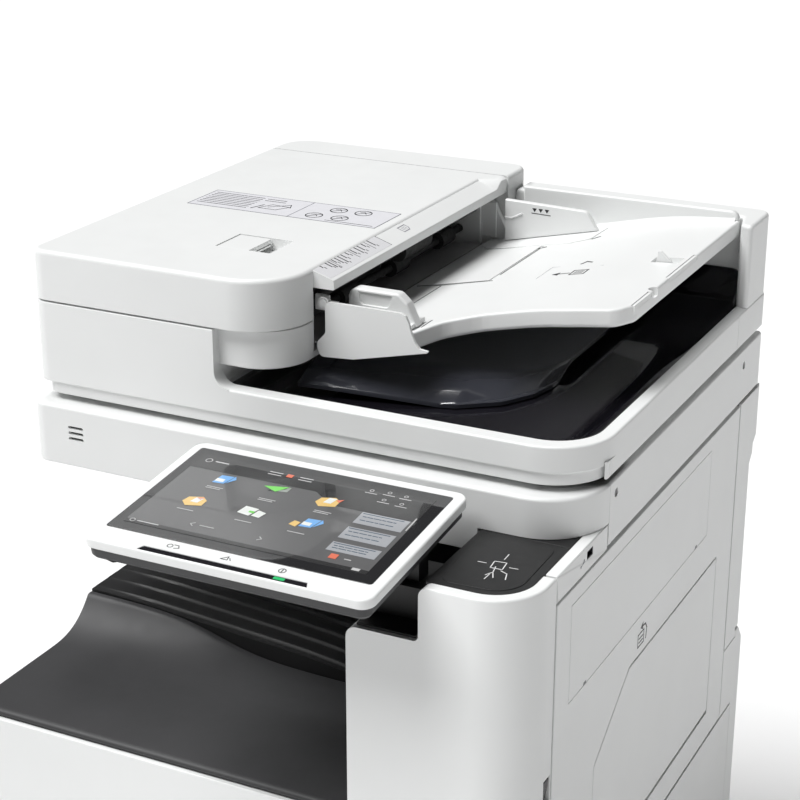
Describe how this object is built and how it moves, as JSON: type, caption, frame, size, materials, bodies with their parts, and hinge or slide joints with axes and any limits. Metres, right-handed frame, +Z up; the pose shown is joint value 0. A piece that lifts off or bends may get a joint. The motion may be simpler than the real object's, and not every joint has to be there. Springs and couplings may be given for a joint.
{
  "type": "photocopier",
  "caption": "Office photocopier with a document feeder, flatbed scanner, tilting touch panel, in-body output tray and front paper cassettes.",
  "frame": {"origin": "centre of the bounding box on the floor", "axes": "+X to the operator's right, +Y to the rear, +Z up"},
  "size_m": [0.565, 0.722, 0.891],
  "materials": {
    "white_cover": "fine satin texture",
    "black_tray": "fine matte texture",
    "gloss_black": "gloss",
    "shelf_grey": "fine matte texture",
    "steel": "zinc plated",
    "bright_shaft": "polished",
    "glass": "clear",
    "screen": "gloss",
    "rubber": "matte",
    "roller_rubber": "matte",
    "grey_plastic": "matte",
    "drum_coating": "gloss",
    "toner_plastic": "satin",
    "backing": "soft",
    "screw_steel": "plated"
  },
  "bodies": {
    "machine": {"base_frame": "steel", "feet": "rubber", "front_frame": "steel", "rear_frame": "steel", "left_cover": "white_cover", "rear_cover": "white_cover", "cover_screws": "screw_steel", "lower_rear_cover": "white_cover", "power_inlet": "toner_plastic", "right_lower_cover": "white_cover", "front_right_cover": "white_cover", "card_reader_panel": "black_tray", "right_upper_cover": "white_cover", "usb_port": "toner_plastic", "inner_tray": "black_tray", "output_shelf": "shelf_grey", "cavity_rear_wall": "black_tray", "cavity_right_wall": "black_tray", "laser_unit": "grey_plastic", "main_drive_unit": "steel", "power_supply": "steel", "reader_housing": "white_cover", "platen_glass": "glass", "slit_glass": "glass", "carriage_rail": "bright_shaft", "panel_arm": "black_tray"},
    "scanner": {"scanner_carriage": "toner_plastic"},
    "platen_cover": {"adf_base": "white_cover", "output_dish": "gloss_black", "dish_plate": "gloss_black", "rear_wall_cover": "white_cover", "rear_top_cover": "white_cover", "platen_backing": "backing"},
    "feeder_lid": {"feeder_cover": "white_cover"},
    "lid_latch": {"feeder_latch": "white_cover"},
    "pickup": {"adf_pickup_roller": "rubber"},
    "feed": {"adf_feed_roller": "rubber"},
    "original_tray": {"document_tray": "white_cover", "tray_skirt": "white_cover"},
    "guide_front": {"front_guide": "white_cover"},
    "guide_rear": {"rear_guide": "white_cover"},
    "stopper": {"tray_stopper": "white_cover"},
    "panel": {"panel_frame": "white_cover", "panel_glass": "screen", "panel_housing": "shelf_grey"},
    "front_cover": {"front_door": "white_cover"},
    "toner": {"toner_bottle": "toner_plastic"},
    "photo_drum": {"drum": "drum_coating"},
    "fixing": {"fixing_roller": "roller_rubber"},
    "pressure": {"pressure_roller": "roller_rubber"},
    "exit": {"exit_roller": "rubber"},
    "lower_cassette": {"lower_cassette_front": "white_cover", "lower_cassette_tray": "grey_plastic"},
    "lower_lift": {"lower_cassette_lift_plate": "steel"},
    "upper_cassette": {"upper_cassette_front": "white_cover", "upper_cassette_tray": "grey_plastic"},
    "upper_lift": {"upper_cassette_lift_plate": "steel"},
    "side_door": {"right_door": "white_cover"},
    "bypass": {"bypass_tray": "white_cover"},
    "switch": {"power_switch": "toner_plastic"}
  },
  "joints": [
    {"name": "carriage_slide", "type": "slide", "parent": "machine", "child": "scanner", "axis": [1, 0, 0], "range_m": [0, 0.43]},
    {"name": "platen_cover_hinge", "type": "hinge", "parent": "machine", "child": "platen_cover", "pos_m": [0, 0.35, 0.748], "axis": [-1, 0, 0], "range_deg": [0, 65]},
    {"name": "feeder_lid_hinge", "type": "hinge", "parent": "platen_cover", "child": "feeder_lid", "pos_m": [-0.28, 0.08, 0.8442], "axis": [0, -1, 0], "range_deg": [0, 75]},
    {"name": "latch_hinge", "type": "hinge", "parent": "feeder_lid", "child": "lid_latch", "pos_m": [-0.1265, -0.038, 0.888], "axis": [0, -1, 0], "range_deg": [0, 30]},
    {"name": "pickup_spin", "type": "hinge", "parent": "platen_cover", "child": "pickup", "pos_m": [-0.024, 0.135, 0.856], "axis": [0, 1, 0], "continuous": true},
    {"name": "feed_spin", "type": "hinge", "parent": "platen_cover", "child": "feed", "pos_m": [-0.04, 0.135, 0.832], "axis": [0, 1, 0], "continuous": true},
    {"name": "tray_hinge", "type": "hinge", "parent": "platen_cover", "child": "original_tray", "pos_m": [-0.006, 0, 0.858], "axis": [0, -1, 0], "range_deg": [0, 20]},
    {"name": "front_guide_slide", "type": "slide", "parent": "original_tray", "child": "guide_front", "axis": [0, 1, 0], "range_m": [0, 0.09]},
    {"name": "rear_guide_slide", "type": "slide", "parent": "original_tray", "child": "guide_rear", "axis": [0, 1, 0], "range_m": [-0.09, 0]},
    {"name": "stopper_fold", "type": "hinge", "parent": "original_tray", "child": "stopper", "pos_m": [0.241, 0.148, 0.8674], "axis": [-0.9948, 0, -0.1021], "range_deg": [0, 85]},
    {"name": "panel_tilt", "type": "hinge", "parent": "machine", "child": "panel", "pos_m": [0.148, -0.23203, 0.701], "axis": [1, 0, 0], "range_deg": [0, 35]},
    {"name": "front_door_hinge", "type": "hinge", "parent": "machine", "child": "front_cover", "pos_m": [-0.276, -0.276, 0.388], "axis": [0, 0, -1], "range_deg": [0, 100]},
    {"name": "toner_spin", "type": "hinge", "parent": "machine", "child": "toner", "pos_m": [-0.15, 0, 0.4], "axis": [0, 1, 0], "continuous": true},
    {"name": "drum_spin", "type": "hinge", "parent": "machine", "child": "photo_drum", "pos_m": [0.15, 0, 0.4], "axis": [0, 1, 0], "continuous": true},
    {"name": "fixing_spin", "type": "hinge", "parent": "machine", "child": "fixing", "pos_m": [0.172, 0, 0.484], "axis": [0, 1, 0], "continuous": true},
    {"name": "pressure_spin", "type": "hinge", "parent": "machine", "child": "pressure", "pos_m": [0.2074, 0, 0.484], "axis": [0, 1, 0], "continuous": true},
    {"name": "exit_spin", "type": "hinge", "parent": "machine", "child": "exit", "pos_m": [0.136, 0, 0.575], "axis": [0, 1, 0], "continuous": true},
    {"name": "lower_cassette_slide", "type": "slide", "parent": "machine", "child": "lower_cassette", "axis": [0, -1, 0], "range_m": [0, 0.38]},
    {"name": "lower_lift_hinge", "type": "hinge", "parent": "lower_cassette", "child": "lower_lift", "pos_m": [-0.12, -0.05, 0.04825], "axis": [0, -1, 0], "range_deg": [0, 10]},
    {"name": "upper_cassette_slide", "type": "slide", "parent": "machine", "child": "upper_cassette", "axis": [0, -1, 0], "range_m": [0, 0.38]},
    {"name": "upper_lift_hinge", "type": "hinge", "parent": "upper_cassette", "child": "upper_lift", "pos_m": [-0.12, -0.05, 0.18425], "axis": [0, -1, 0], "range_deg": [0, 10]},
    {"name": "right_door_hinge", "type": "hinge", "parent": "machine", "child": "side_door", "pos_m": [0.2785, 0.289, 0.494], "axis": [0, 0, 1], "range_deg": [0, 80]},
    {"name": "bypass_hinge", "type": "hinge", "parent": "side_door", "child": "bypass", "pos_m": [0.276, 0.06, 0.351], "axis": [0, 1, 0], "range_deg": [0, 75]},
    {"name": "switch_rock", "type": "hinge", "parent": "machine", "child": "switch", "pos_m": [0.2765, -0.226, 0.51], "axis": [0, -1, 0], "range_deg": [0, 12]}
  ],
  "couplings": [
    {"joint": "rear_guide_slide", "follows": "front_guide_slide", "ratio": -1},
    {"joint": "feed_spin", "follows": "pickup_spin", "ratio": 1},
    {"joint": "pressure_spin", "follows": "fixing_spin", "ratio": -1.3333}
  ]
}
